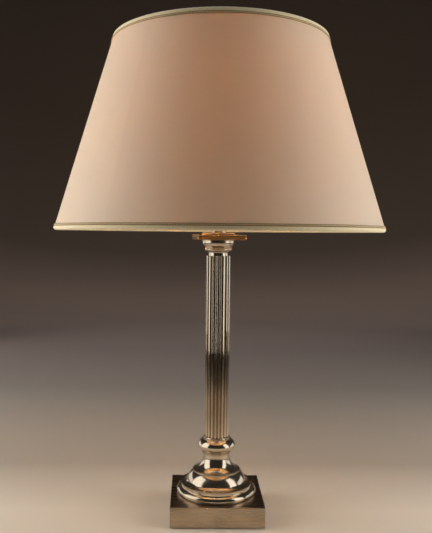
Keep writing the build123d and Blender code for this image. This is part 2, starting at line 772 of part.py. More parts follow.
def shade_clamp_ring():
    """Ribbed ring that screws down over the hub, eased so far that the shade can turn."""
    low = SEAT_TOP + HUB_T + RUNNING
    grip_centre = CLAMP_R + CLAMP_GRIP_R - CLAMP_GRIP_DEPTH
    outline = Circle(CLAMP_R) - PolarLocations(grip_centre, CLAMP_GRIPS) * Circle(CLAMP_GRIP_R)
    ring = Pos(0, 0, low) * extrude(outline - Circle(HUB_BORE_R), CLAMP_H)
    return ring + disc(CLAMP_FLANGE_R, low, CLAMP_FLANGE_T, HUB_BORE_R)


def shade_cover():
    """Conical skin of fabric on a stiff liner."""
    low = wire_place(SHADE_LOW, True)[1]
    top = wire_place(SHADE_TOP, False)[1]
    low_r = shade_radius(low - SHADE_LOW)
    top_r = shade_radius(top - SHADE_LOW)
    edges = Polyline(
        (low_r, low), (top_r, top), (top_r - SHADE_T, top), (low_r - SHADE_T, low), (low_r, low)
    )
    return turned(edges)


def rim_binding(height, low_side):
    """Tape folded round the rim's wire and the skin's edge, with a full round lip."""
    wire_r, wire_z = wire_place(height, low_side)
    up = 1 if low_side else -1
    edge_z = height + up * BINDING_H
    outer_r = shade_radius(wire_z - SHADE_LOW) + CRACK
    outer_top = shade_radius(edge_z - SHADE_LOW) + CRACK
    inner_r = outer_r - 2 * RIM_ROLL_R
    middle_r = outer_r - RIM_ROLL_R
    bottom_z = wire_z - up * RIM_ROLL_R
    band = BINDING_T
    edges = [
        Line((inner_r, edge_z), (inner_r, wire_z)),
        ThreePointArc((inner_r, wire_z), (middle_r, bottom_z), (outer_r, wire_z)),
        Line((outer_r, wire_z), (outer_top, edge_z)),
        Line((outer_top, edge_z), (outer_top + band, edge_z)),
        Line((outer_top + band, edge_z), (outer_r + band, wire_z)),
        ThreePointArc(
            (outer_r + band, wire_z), (middle_r, bottom_z - up * band), (inner_r - band, wire_z)
        ),
        Line((inner_r - band, wire_z), (inner_r - band, edge_z)),
        Line((inner_r - band, edge_z), (inner_r, edge_z)),
    ]
    body = turned(*edges)
    if low_side:
        body -= [turn * spoke_rod(SPOKE_R + CRACK) for turn in spoke_turns()]
    return body


def rim_braid(height, low_side):
    """Narrow rounded braid on the skin, along the binding's inner edge."""
    up = 1 if low_side else -1
    start = height + up * (BINDING_H + CRACK)
    end = start + up * BRAID_W
    middle = (start + end) / 2
    start_r = shade_radius(start - SHADE_LOW) + CRACK
    end_r = shade_radius(end - SHADE_LOW) + CRACK
    middle_r = shade_radius(middle - SHADE_LOW) + CRACK + BRAID_T
    edges = [
        Line((start_r, start), (end_r, end)),
        ThreePointArc((end_r, end), (middle_r, middle), (start_r, start)),
    ]
    return turned(*edges)


PIECES = {
    "plinth": plinth,
    "base_plate": base_plate,
    "base_screws": base_screws,
    "felt_pad": felt_pad,
    "base_weight": base_weight,
    "base_washer": base_washer,
    "base_nut": base_nut,
    "cord_bush": cord_bush,
    "threaded_tube": threaded_tube,
    "foot_ring": foot_ring,
    "base_drum": base_drum,
    "base_neck": base_neck,
    "collar_ring": collar_ring,
    "column_shaft": column_shaft,
    "capital": capital,
    "abacus": abacus,
    "holder_disc": holder_disc,
    "holder_stem": holder_stem,
    "holder_cap": holder_cap,
    "holder_locknut": holder_locknut,
    "holder_core": holder_core,
    "screw_shell": screw_shell,
    "centre_contact": centre_contact,
    "terminal_screws": terminal_screws,
    "holder_skirt": holder_skirt,
    "switch_bar": switch_bar,
    "bulb_contact": bulb_contact,
    "bulb_insulator": bulb_insulator,
    "bulb_cap": bulb_cap,
    "bulb_glass": bulb_glass,
    "bulb_stem": bulb_stem,
    "bulb_filament": bulb_filament,
    "shade_hub": shade_hub,
    "shade_spokes": shade_spokes,
    "shade_clamp_ring": shade_clamp_ring,
    "shade_cover": shade_cover,
    "shade_lower_wire": lambda: rim_wire(SHADE_LOW, True),
    "shade_upper_wire": lambda: rim_wire(SHADE_TOP, False),
    "shade_lower_binding": lambda: rim_binding(SHADE_LOW, True),
    "shade_upper_binding": lambda: rim_binding(SHADE_TOP, False),
    "shade_lower_braid": lambda: rim_braid(SHADE_LOW, True),
    "shade_upper_braid": lambda: rim_braid(SHADE_TOP, False),
}

os.makedirs("parts", exist_ok=True)
for name, make in PIECES.items():
    export_step(make(), f"parts/{name}.step")
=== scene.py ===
import math

import bpy
import numpy as np
from mathutils import Matrix, Vector, noise


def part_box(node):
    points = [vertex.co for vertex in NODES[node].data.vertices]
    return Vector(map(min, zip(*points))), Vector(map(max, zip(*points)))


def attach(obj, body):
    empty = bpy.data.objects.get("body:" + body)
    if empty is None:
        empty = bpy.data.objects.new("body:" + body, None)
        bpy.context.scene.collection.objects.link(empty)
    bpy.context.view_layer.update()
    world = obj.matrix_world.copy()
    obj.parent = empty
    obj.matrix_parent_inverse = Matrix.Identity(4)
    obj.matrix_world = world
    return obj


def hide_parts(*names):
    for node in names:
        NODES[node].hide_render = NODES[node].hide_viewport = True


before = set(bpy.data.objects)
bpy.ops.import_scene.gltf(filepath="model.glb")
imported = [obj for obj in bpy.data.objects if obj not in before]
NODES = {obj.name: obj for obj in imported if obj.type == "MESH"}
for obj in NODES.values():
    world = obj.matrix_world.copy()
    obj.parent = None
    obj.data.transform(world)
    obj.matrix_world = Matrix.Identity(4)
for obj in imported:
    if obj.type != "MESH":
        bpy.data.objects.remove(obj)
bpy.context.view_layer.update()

# Looks of a column table lamp with a conical fabric shade. Metres, +Z up, the front looks along -Y.

MM = 0.001
IMAGE_W, IMAGE_H = 432, 533


# Camera, fitted to the plinth's corners, the mouldings and both rims of the shade -----------------
FOCAL_PX = 695.96
CENTRE_PX = (199.7, 264.4)
CAMERA_AT = (-0.0346, -0.9647, 0.3885)
CAMERA_YAW = 0.0091
CAMERA_PITCH = 0.0434
CAMERA_ROLL = 0.0090
SENSOR_MM = 36.0
CLIP_NEAR, CLIP_FAR = 0.01, 50.0


def make_camera():
    data = bpy.data.cameras.new("camera")
    data.sensor_width = SENSOR_MM
    data.lens = FOCAL_PX / IMAGE_H * SENSOR_MM
    data.shift_x = (IMAGE_W / 2 - CENTRE_PX[0]) / IMAGE_H
    data.shift_y = (CENTRE_PX[1] - IMAGE_H / 2) / IMAGE_H
    data.clip_start = CLIP_NEAR
    data.clip_end = CLIP_FAR
    ahead = Vector((
        math.sin(CAMERA_YAW) * math.cos(CAMERA_PITCH),
        math.cos(CAMERA_YAW) * math.cos(CAMERA_PITCH),
        -math.sin(CAMERA_PITCH),
    ))
    level = Vector((math.cos(CAMERA_YAW), -math.sin(CAMERA_YAW), 0.0))
    above = level.cross(ahead)
    right = math.cos(CAMERA_ROLL) * level + math.sin(CAMERA_ROLL) * above
    up = -math.sin(CAMERA_ROLL) * level + math.cos(CAMERA_ROLL) * above
    camera = bpy.data.objects.new("camera", data)
    turn = Matrix((right, up, -ahead)).transposed().to_4x4()
    camera.matrix_world = Matrix.Translation(CAMERA_AT) @ turn
    bpy.context.scene.collection.objects.link(camera)
    bpy.context.scene.camera = camera


# Mesh helpers -------------------------------------------------------------------------------------
def add_object(name, verts, faces, material, smooth=True):
    mesh = bpy.data.meshes.new(name)
    mesh.from_pydata([tuple(v) for v in verts], [], [tuple(f) for f in faces])
    mesh.validate()
    mesh.polygons.foreach_set("use_smooth", [smooth] * len(mesh.polygons))
    mesh.materials.append(material)
    mesh.update()
    piece = bpy.data.objects.new(name, mesh)
    bpy.context.scene.collection.objects.link(piece)
    return piece


def ring_faces(rings, points):
    """Quads of a closed band of rings, each a closed loop of points."""
    ring = np.arange(rings)[:, None] * points
    following = np.roll(np.arange(rings), -1)[:, None] * points
    here = np.arange(points)[None, :]
    there = np.roll(np.arange(points), -1)[None, :]
    quads = np.stack([ring + here, following + here, following + there, ring + there], axis=-1)
    return quads.reshape(-1, 4)


def at_angle(angle, radius, height):
    """Points at radii and heights on one half plane through the Z axis."""
    return np.stack([radius * math.cos(angle), radius * math.sin(angle), height], axis=1)


def section_turned(name, section, angles, material, shape):
    """Closed ring round the Z axis. section is a loop of (radius, height), anticlockwise, and shape
    gives new radii and heights for one angle."""
    radius, height = np.array(section, float).T
    verts = [at_angle(angle, *shape(angle, radius, height)) for angle in angles]
    return add_object(name, np.concatenate(verts), ring_faces(len(angles), len(section)), material)


def even_angles(count):
    return np.linspace(0, 2 * math.pi, count, endpoint=False)


# Materials: noise scales are in cycles a metre, colours are linear --------------------------------
USUAL = (0.3, 0.7)  # most values of a noise lie between these


class Material:
    """A Principled material and the nodes that drive it."""

    def __init__(self, name, color, roughness, metallic=0.0, **sockets):
        self.made = bpy.data.materials.new(name)
        self.made.use_nodes = True
        self.tree = self.made.node_tree
        self.shader = self.tree.nodes["Principled BSDF"]
        self.shader.inputs["Base Color"].default_value = (*color, 1.0)
        self.shader.inputs["Roughness"].default_value = roughness
        self.shader.inputs["Metallic"].default_value = metallic
        for socket, value in sockets.items():
            self.shader.inputs[socket.replace("_", " ")].default_value = value
        self.place = self.tree.nodes.new("ShaderNodeTexCoord").outputs["Object"]

    def link(self, source, target):
        """Wires an output to an input, or sets the input where source is a plain value."""
        if isinstance(source, bpy.types.NodeSocket):
            self.tree.links.new(source, target)
        else:
            target.default_value = source

    def math(self, operation, first, second=0.0):
        node = self.tree.nodes.new("ShaderNodeMath")
        node.operation = operation
        self.link(first, node.inputs[0])
        self.link(second, node.inputs[1])
        return node.outputs[0]

    def add(self, first, second):
        return self.math("ADD", first, second)

    def subtract(self, first, second):
        return self.math("SUBTRACT", first, second)

    def times(self, first, second):
        return self.math("MULTIPLY", first, second)

    def larger(self, first, second):
        return self.math("MAXIMUM", first, second)

    def vector(self, operation, first, second=(0.0, 0.0, 0.0)):
        node = self.tree.nodes.new("ShaderNodeVectorMath")
        node.operation = operation
        self.link(first, node.inputs[0])
        self.link(second, node.inputs[1])
        return node.outputs["Value" if operation == "LENGTH" else "Vector"]

    def scaled(self, vector, scales):
        return self.vector("MULTIPLY", vector, scales)

    def split(self, vector):
        node = self.tree.nodes.new("ShaderNodeSeparateXYZ")
        self.link(vector, node.inputs[0])
        return node.outputs

    def join(self, x, y, z):
        node = self.tree.nodes.new("ShaderNodeCombineXYZ")
        for source, target in zip((x, y, z), node.inputs):
            self.link(source, target)
        return node.outputs[0]

    def noise(self, vector, *, detail, scale=1.0, roughness=0.55):
        node = self.tree.nodes.new("ShaderNodeTexNoise")
        self.link(vector, node.inputs["Vector"])
        node.inputs["Scale"].default_value = scale
        node.inputs["Detail"].default_value = detail
        node.inputs["Roughness"].default_value = roughness
        return node.outputs["Fac"]

    def grain(self, scales, detail):
        """Noise with its own scale along each axis."""
        return self.noise(self.scaled(self.place, scales), detail=detail)

    def range(self, value, window=USUAL, low=0.0, high=1.0):
        """A window of values, smoothly spread from low to high."""
        node = self.tree.nodes.new("ShaderNodeMapRange")
        node.interpolation_type = "SMOOTHSTEP"
        for source, target in zip((value, *window, low, high), node.inputs):
            self.link(source, target)
        return node.outputs["Result"]

    def blend(self, share, first, second):
        """Colour between first and second."""
        node = self.tree.nodes.new("ShaderNodeMix")
        node.data_type = "RGBA"
        self.link(share, node.inputs[0])
        for value, target in ((first, node.inputs[6]), (second, node.inputs[7])):
            self.link(value if isinstance(value, bpy.types.NodeSocket) else (*value, 1.0), target)
        return node.outputs[2]

    def ramp(self, value, stops):
        """Colour ramp through stops of (position, colour)."""
        node = self.tree.nodes.new("ShaderNodeValToRGB")
        ends = node.color_ramp.elements
        for index, (position, color) in enumerate(stops):
            stop = ends[index] if index < 2 else ends.new(position)
            stop.position = position
            stop.color = (*color, 1.0)
        self.link(value, node.inputs["Fac"])
        return node.outputs["Color"]

    def bump(self, height, distance, strength, worn=0.0):
        """Bump, and above a worn radius of 0 also edges that read as rubbed round."""
        node = self.tree.nodes.new("ShaderNodeBump")
        if worn:
            rounded = self.tree.nodes.new("ShaderNodeBevel")
            rounded.inputs["Radius"].default_value = worn
            self.link(rounded.outputs["Normal"], node.inputs["Normal"])
        self.link(height, node.inputs["Height"])
        node.inputs["Distance"].default_value = distance
        node.inputs["Strength"].default_value = strength
        self.link(node.outputs["Normal"], self.shader.inputs["Normal"])

    def color(self, source):
        self.link(source, self.shader.inputs["Base Color"])

    def roughness(self, source):
        self.link(source, self.shader.inputs["Roughness"])

    def outward(self):
        """The place without its height."""
        return self.scaled(self.place, (1.0, 1.0, 0.0))

    def radius(self):
        """Distance from the Z axis."""
        return self.vector("LENGTH", self.outward())

    def height(self):
        return self.split(self.place)[2]

    def threads_up(self, scale):
        """Vector that changes with the angle round the Z axis alone, for threads that run up."""
        return self.scaled(self.vector("NORMALIZE", self.outward()), (scale, scale, 0.0))


SILVER = (0.66, 0.57, 0.45)
SILVER_TARNISH = (0.30, 0.20, 0.11)
LATHE_SCALE = 2600
GROOVE_REACH = 3.0 * MM
GROOVE_TARNISH = 0.75
BRUSH_ALONG, BRUSH_ACROSS = 9.0, 1500.0
FLUTE_DEPTHS = (1.3 * MM, 0.3 * MM)  # below the ridges: tarnish and painted shade from here, and clean from here
FLUTE_TARNISH_AND_SHADE = 0.95
RUBBED_R = 0.5 * MM


def turned_metal(name, bright, dull, gloss, grooves=()):
    """Polished plate with fine lathe lines, smudges and tarnish that gathers in the grooves."""
    m = Material(name, bright, gloss, metallic=0.95)
    along = m.join(m.times(m.radius(), LATHE_SCALE), 0.0, m.times(m.height(), LATHE_SCALE))
    lathe = m.noise(along, detail=2)
    smudge = m.noise(m.place, scale=38, detail=4, roughness=0.6)
    cloud = m.noise(m.place, scale=12, detail=3)
    patches = m.range(cloud, (0.3, 0.6), 0.45, 1.0)
    tarnish = m.range(smudge, (0.52, 0.80), 0.0, 0.30)
    for level in grooves:
        off = m.math("ABSOLUTE", m.subtract(m.height(), level))
        dark = m.range(off, (0.0, GROOVE_REACH), GROOVE_TARNISH, 0.0)
        tarnish = m.larger(tarnish, m.times(dark, patches))
    m.color(m.blend(tarnish, bright, dull))
    smudged = m.range(smudge, (0.35, 0.75), gloss, gloss + 0.10)
    m.roughness(m.add(smudged, m.times(tarnish, 0.25)))
    m.bump(lathe, distance=0.003 * MM, strength=0.5)
    return m.made


def brushed_metal(name, bright, dull, gloss):
    """Satin plate brushed lengthways on its sides and its top, a little worn."""
    m = Material(name, bright, gloss, metallic=1.0)
    side = m.grain((BRUSH_ALONG, BRUSH_ALONG, BRUSH_ACROSS), detail=3)
    top = m.grain((BRUSH_ALONG, BRUSH_ACROSS, BRUSH_ALONG), detail=3)
    normal = m.tree.nodes.new("ShaderNodeNewGeometry").outputs["Normal"]
    upward = m.range(m.math("ABSOLUTE", m.split(normal)[2]), (0.6, 0.8))
    lines = m.add(m.times(top, upward), m.times(side, m.subtract(1.0, upward)))
    cloud = m.noise(m.place, scale=26, detail=4, roughness=0.62)
    worn = m.add(m.range(cloud, (0.42, 0.72), 0.0, 0.55), m.range(lines, (0.42, 0.66), 0.0, 0.30))
    m.color(m.blend(worn, bright, dull))
    m.roughness(m.add(m.range(lines, USUAL, gloss - 0.06, gloss + 0.08), m.times(worn, 0.10)))
    m.bump(lines, distance=0.02 * MM, strength=0.6)
    return m.made


def shaft_metal(name, bright, dull, gloss):
    """Drawn and polished tube: fine lines along the flutes, tarnish and painted shade in their
    floors.
    """
    m = Material(name, bright, gloss, metallic=1.0)
    lines = m.grain((2200.0, 2200.0, 5.0), detail=2)
    cloud = m.grain((60.0, 60.0, 14.0), detail=4)
    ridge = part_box("column_shaft")[1].x
    deep, shallow = FLUTE_DEPTHS
    # the flute floors are darkened: partly tarnish, partly painted shade of the dark that they mirror
    floor = m.range(m.radius(), (ridge - deep, ridge - shallow), FLUTE_TARNISH_AND_SHADE, 0.0)
    tarnish = m.larger(floor, m.range(cloud, (0.40, 0.70), 0.0, 0.25))
    m.color(m.blend(tarnish, bright, dull))
    clouded = m.range(cloud, (0.35, 0.7), gloss, gloss + 0.03)
    m.roughness(m.add(clouded, m.times(tarnish, 0.05)))
    m.bump(lines, distance=0.001 * MM, strength=0.5, worn=RUBBED_R)
    return m.made


def plain_metal(name, color, dull, gloss):
    m = Material(name, color, gloss, metallic=1.0)
    cloud = m.noise(m.place, scale=420, detail=4)
    m.color(m.blend(m.range(cloud, (0.35, 0.75)), color, dull))
    m.roughness(m.range(cloud, USUAL, gloss, gloss + 0.18))
    m.bump(cloud, distance=0.02 * MM, strength=0.5)
    return m.made


def moulded(name, color, lighter, gloss, **sockets):
    """Moulded, cast or glazed surface with a faint orange peel."""
    m = Material(name, color, gloss, **sockets)
    peel = m.noise(m.place, scale=900, detail=3)
    cloud = m.noise(m.place, scale=60, detail=3)
    m.color(m.blend(m.range(cloud), color, lighter))
    m.roughness(m.range(peel, USUAL, gloss, gloss + 0.12))
    m.bump(peel, distance=0.03 * MM, strength=0.4)
    return m.made


def satin(name, color, warm):
    """Satin laminated on card: fine slubs round the cone, finer threads up it, and a soft glow."""
    m = Material(name, color, 0.52, Sheen_Weight=0.15, Sheen_Roughness=0.4)
    rise = m.scaled(m.place, (0.0, 0.0, 30.0))
    threads = m.noise(m.vector("ADD", m.threads_up(620.0), rise), detail=1)
    slubs = m.grain((26.0, 26.0, 1900.0), detail=2)
    weave = m.add(m.times(slubs, 0.65), m.times(threads, 0.35))
    cloud = m.noise(m.place, scale=7, detail=2)
    tone = m.add(m.range(weave, USUAL, 0.0, 0.6), m.range(cloud, (0.35, 0.65), 0.0, 0.4))
    m.color(m.blend(tone, color, warm))
    m.roughness(m.range(weave, USUAL, 0.46, 0.60))
    m.bump(weave, distance=0.05 * MM, strength=0.6)
    glow_through(m, (0.95, 0.70, 0.38), 0.37)
    return m.made


def lining_card(name, color, darker):
    """Pale card that backs the cloth, matt, with a faint mottle, and that the bulb shines through."""
    m = Material(name, color, 0.7)
    mottle = m.noise(m.place, scale=160, detail=4, roughness=0.6)
    m.color(m.blend(m.range(mottle, (0.35, 0.7)), color, darker))
    m.roughness(m.range(mottle, USUAL, 0.62, 0.78))
    m.bump(mottle, distance=0.04 * MM, strength=0.5)
    glow_through(m, (0.95, 0.70, 0.45), 0.33)
    return m.made


def glow_through(m, color, share):
    """Lets light through the cloth: the shader is mixed with a translucent one."""
    through = m.tree.nodes.new("ShaderNodeBsdfTranslucent")
    through.inputs["Color"].default_value = (*color, 1.0)
    mix = m.tree.nodes.new("ShaderNodeMixShader")
    mix.inputs["Fac"].default_value = share
    output = m.tree.nodes["Material Output"]
    m.link(m.shader.outputs[0], mix.inputs[1])
    m.link(through.outputs[0], mix.inputs[2])
    m.link(mix.outputs[0], output.inputs["Surface"])


def ribbed_cloth(name, color, dark, rib_scale, depth):
    """Woven tape: ribs across its length, with a fuzzy edge to each thread."""
    m = Material(name, color, 0.75, Sheen_Weight=0.35, Sheen_Roughness=0.5)
    ribs = m.noise(m.threads_up(rib_scale), detail=1)
    fuzz = m.noise(m.place, scale=2400, detail=2)
    height = m.add(m.times(ribs, 0.7), m.times(fuzz, 0.3))
    m.color(m.blend(m.range(height, (0.35, 0.65)), dark, color))
    m.roughness(m.range(fuzz, USUAL, 0.68, 0.85))
    m.bump(height, distance=depth, strength=0.7)
    return m.made


def felt_cloth(name, color, light):
    m = Material(name, color, 0.95, Sheen_Weight=0.5, Sheen_Roughness=0.6)
    fibres = m.noise(m.place, scale=1500, detail=5, roughness=0.7)
    cloud = m.noise(m.place, scale=45, detail=3)
    share = m.times(m.range(fibres, (0.35, 0.7)), m.range(cloud, (0.2, 0.7), 0.5, 1.0))
    m.color(m.blend(share, color, light))
    m.roughness(m.range(fibres, USUAL, 0.88, 1.0))
    m.bump(fibres, distance=0.25 * MM, strength=0.8)
    return m.made


def clear_glass(name, color):
    m = Material(name, color, 0.03, Transmission_Weight=1.0, IOR=1.45)
    m.roughness(m.range(m.noise(m.place, scale=90, detail=3), (0.4, 0.7), 0.03, 0.10))
    return m.made


def glowing(name, color, strength):
    """Lit wire. The light of the bulb comes from a lamp of its own."""
    emission = {"Emission_Color": (*color, 1.0), "Emission_Strength": strength}
    m = Material(name, (0.2, 0.12, 0.06), 0.5, **emission)
    m.made.cycles.emission_sampling = "NONE"
    m.roughness(m.range(m.noise(m.place, scale=2000, detail=2), USUAL, 0.4, 0.6))
    return m.made


# Stage: one sheet of paper from the floor up a curved wall, in a dark room, with painted light ---
FLOOR_R = 2.1
WALL_R = 3.2
WALL_H = 4.0
SWEEP_R = WALL_R - FLOOR_R
SWEEP_STEPS = 12
FLOOR_STEP = 0.05
STAGE_POINTS = 96
PAPER_PAINTED_LIGHT = (  # depth behind the lamp plus height, painted light there: pale, greyer, paler again, dark above
    (0.00, (0.66, 0.59, 0.50)),
    (0.20, (0.37, 0.31, 0.25)),
    (0.80, (0.29, 0.25, 0.22)),
    (1.35, (0.40, 0.32, 0.29)),
    (2.00, (0.65, 0.50, 0.44)),
    (2.50, (0.55, 0.41, 0.34)),
    (3.10, (0.24, 0.18, 0.14)),
    (4.20, (0.17, 0.12, 0.09)),
)
PAINTED_POOL_R = 0.35  # painted pool of light: as pale as in front of the lamp out to this radius at the paper's sides
PAPER_SIDES = (0.58, 0.82)  # half its width, where it fades into the room's floor
PAPER_FLARE = 0.35  # how much wider it gets for each metre of depth
PAPER_FRONT = (-0.86, -0.60)
ROOM_FLOOR = (0.04, 0.033, 0.028)


def paper_painted_light_material():
    m = Material("stage_paper_painted_light", PAPER_PAINTED_LIGHT[0][1], 0.9)
    x, y, z = m.split(m.place)
    depth = m.larger(m.larger(y, m.subtract(m.radius(), PAINTED_POOL_R)), 0.0)
    reach = PAPER_PAINTED_LIGHT[-1][0]
    stops = [(at / reach, color) for at, color in PAPER_PAINTED_LIGHT]
    # painted light: the ramp paints a pale pool round the lamp, greyer and paler bands behind it, and
    # shade up the wall
    paper = m.ramp(m.math("DIVIDE", m.add(depth, z), reach), stops)
    beside = m.subtract(m.math("ABSOLUTE", x), m.times(m.larger(y, 0.0), PAPER_FLARE))
    beyond = m.larger(m.range(beside, PAPER_SIDES), m.range(y, PAPER_FRONT, 1.0, 0.0))
    m.color(m.blend(beyond, paper, ROOM_FLOOR))
    m.roughness(m.range(m.noise(m.place, scale=300, detail=3), USUAL, 0.85, 0.95))
    return m.made


def make_stage():
    profile = [(FLOOR_STEP * k, 0.0) for k in range(1, round(FLOOR_R / FLOOR_STEP) + 1)]
    for step in range(1, SWEEP_STEPS + 1):
        turn = math.pi / 2 * step / SWEEP_STEPS
        profile.append((FLOOR_R + SWEEP_R * math.sin(turn), SWEEP_R * (1 - math.cos(turn))))
    profile.append((WALL_R, WALL_H))
    count = STAGE_POINTS
    verts = [(0.0, 0.0, 0.0)]
    for radius, height in profile:
        verts += [(radius * math.cos(a), radius * math.sin(a), height) for a in even_angles(count)]
    faces = [(0, 1 + i, 1 + (i + 1) % count) for i in range(count)]
    for row in range(len(profile) - 1):
        low, high = 1 + row * count, 1 + (row + 1) * count
        for i in range(count):
            j = (i + 1) % count
            faces.append((low + i, high + i, high + j, low + j))
    stage = add_object("stage", verts, faces, paper_painted_light_material())


# Light --------------------------------------------------------------------------------------------
SOFTBOXES = (  # name, azimuth, distance, height, width, watts, whether the metals mirror it
    ("softbox_left", -82, 1.2, 1.6, 1.0, 7.0, True),
    ("softbox_right", 67, 1.2, 1.6, 0.6, 4.5, True),
    ("edge_left", -128, 1.6, 0.5, 1.2, 1.8, True),
    ("edge_right", 110, 1.6, 0.5, 1.2, 1.8, True),
    ("fill_left", -92, 1.05, 0.9, 1.2, 10.5, False),
    ("fill_right", 87, 1.05, 0.9, 1.0, 10.0, False),
)
SOFTBOX_RISE = 0.02
SIDE_COLOR = (1.0, 0.97, 0.92)
TOP_SIZE = 1.6
TOP_AT = (0.0, 0.6, 2.6)
TOP_AIM = (0.0, 0.0, 0.3)
TOP_W = 8.0
BULB_LIGHT_W = 15.0
BULB_COLOR = (1.0, 0.55, 0.20)
ROOM_COLOR = (0.015, 0.013, 0.012, 1.0)


def place_light(name, data, at, aim=None):
    light = bpy.data.objects.new(name, data)
    turn = Matrix.Identity(4)
    if aim is not None:
        turn = (Vector(aim) - Vector(at)).to_track_quat("-Z", "Y").to_matrix().to_4x4()
    light.matrix_world = Matrix.Translation(at) @ turn
    light.visible_camera = False
    bpy.context.scene.collection.objects.link(light)
    return light


def make_softbox(name, azimuth, distance, high, width, power, mirrored):
    """Upright area light on the floor that faces the lamp's axis. Its azimuth is measured from the
    front towards +X."""
    data = bpy.data.lights.new(name, "AREA")
    data.shape = "RECTANGLE"
    data.size = width
    data.size_y = high
    data.energy = power
    data.color = SIDE_COLOR
    turn = math.radians(azimuth)
    height = high / 2 + SOFTBOX_RISE
    at = (distance * math.sin(turn), -distance * math.cos(turn), height)
    light = place_light(name, data, at, (0.0, 0.0, height))
    light.visible_glossy = mirrored


def make_lights():
    for softbox in SOFTBOXES:
        make_softbox(*softbox)
    top = bpy.data.lights.new("softbox_top", "AREA")
    top.shape = "DISK"
    top.size = TOP_SIZE
    top.energy = TOP_W
    place_light("softbox_top", top, TOP_AT, TOP_AIM)
    low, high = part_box("bulb_glass")
    radius = (high.x - low.x) / 2
    bulb = bpy.data.lights.new("bulb_light", "POINT")
    bulb.energy = BULB_LIGHT_W
    bulb.color = BULB_COLOR
    bulb.shadow_soft_size = radius + 1.0 * MM  # just outside the glass
    place_light("bulb_light", bulb, (0.0, 0.0, high.z - radius))
    room = bpy.data.worlds.new("room")
    room.use_nodes = True
    room.node_tree.nodes["Background"].inputs["Color"].default_value = ROOM_COLOR
    bpy.context.scene.world = room
    bpy.context.scene.view_settings.view_transform = "Standard"


# Shade --------------------------------------------------------------------------------------------
GAP = 0.25 * MM  # between the shade's layers
SKIN_T = 1.2 * MM
SKIN_ROWS = 46
SKIN_POINTS = 300
SKIN_RIPPLE = 0.35 * MM
SEAM_AT = math.radians(232)
SEAM_W = 5.0 * MM
SEAM_RISE = 0.10 * MM
SEAM_REACH = 1.35  # the overlap has run out here, in half widths of the seam
SEAM_STEEP = 2.0
SEAM_SPAN = 2.5  # the skin is finer meshed this far from the seam, in the same half widths
SEAM_POINTS = 41
TAPE_T = 0.8 * MM
TAPE_H = 5.2 * MM
TAPE_RIPPLE = 0.3 * MM
TAPE_POINTS = 720
TAPE_STEPS = 6  # points up each flat side of its section
ROLL_STEPS = 17  # points round its fold
ROLL_PAST = 1.0 * MM  # from the roll to the level that the tape and the braid are measured from
PUCKER = 0.16 * MM
PUCKER_PITCH = 9.0 * MM
PUCKER_DRIFT, PUCKER_DRIFTS = 3.0, 7  # how far and how often their spacing wanders
PUCKER_SLIP = 0.5  # share of the pucker that moves the tape up or down
BRAID_W = 3.0 * MM
CORD_RIPPLE = 0.5 * MM
RIPPLE_OUT, RIPPLE_UP = 0.3, 0.5  # shares of a cord's ripple outwards and upwards
CORD_OUT = 0.62 * MM
CORD_LAY = 3.2 * MM
CORD_STEPS = 6  # sections for each lay of a cord
CORD_POINTS = 10
STRAND_R, STRAND_SWELL = 0.80, 0.28  # of half the pitch: a cord's mean radius and its lobes
RIPPLE_ROUND, RIPPLE_RISE = 2.2, 9.0  # how fast the cloth's unevenness changes round and up


class Cone:
    """The shade's outer surface, worked out from its two wires."""

    def __init__(self):
        self.low_r, self.low_z, self.wire_r = self.outer_at("shade_lower_wire")
        self.top_r, self.top_z, _ = self.outer_at("shade_upper_wire")
        self.roll_r = (2 * self.wire_r + SKIN_T + 3 * GAP) / 2

    @staticmethod
    def outer_at(node):
        low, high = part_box(node)
        return high.x + GAP + SKIN_T, (low.z + high.z) / 2, (high.z - low.z) / 2

    def radius(self, z):
        return self.low_r + (self.top_r - self.low_r) * (z - self.low_z) / (self.top_z - self.low_z)

    def rim(self, wire_z, up):
        """Level just past the tape rolled round a wire. up is 1 at the lower rim, -1 at the upper."""
        return wire_z - up * (self.roll_r + ROLL_PAST)


CONE = Cone()


def ripple(angle, z, size):
    """Small unevenness of hand-stretched cloth, the same at every run."""
    around = (RIPPLE_ROUND * math.cos(angle), RIPPLE_ROUND * math.sin(angle))
    return size * noise.noise(Vector((*around, RIPPLE_RISE * z)))


def make_skin(cloth, lining):
    """Satin on its card, one conical skin with an overlapped seam."""
    rows = np.linspace(CONE.low_z, CONE.top_z, SKIN_ROWS)
    outer = [(CONE.radius(z), z) for z in rows]
    inner = [(CONE.radius(z) - SKIN_T, z) for z in rows[::-1]]
    half = SEAM_W / CONE.low_r / 2
    at_seam = SEAM_AT + np.linspace(-SEAM_SPAN, SEAM_SPAN, SEAM_POINTS) * half
    angles = sorted(set(even_angles(SKIN_POINTS)) | set(at_seam))

    def shape(angle, radius, height):
        off = abs((angle - SEAM_AT + math.pi) % (2 * math.pi) - math.pi) / half
        rise = SEAM_RISE * max(0.0, min(1.0, SEAM_STEEP * (SEAM_REACH - off)))
        moved = radius.copy()
        for i in range(SKIN_ROWS):
            wave = ripple(angle, height[i], SKIN_RIPPLE)
            moved[i] += rise + wave
            moved[2 * SKIN_ROWS - 1 - i] += wave
        return moved, height

    skin = section_turned("shade_satin", outer + inner, angles, cloth, shape)
    skin.data.materials.append(lining)
    for face in skin.data.polygons:
        face.material_index = int(face.index % (2 * SKIN_ROWS) >= SKIN_ROWS)
    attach(skin, "shade")
    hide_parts("shade_cover")


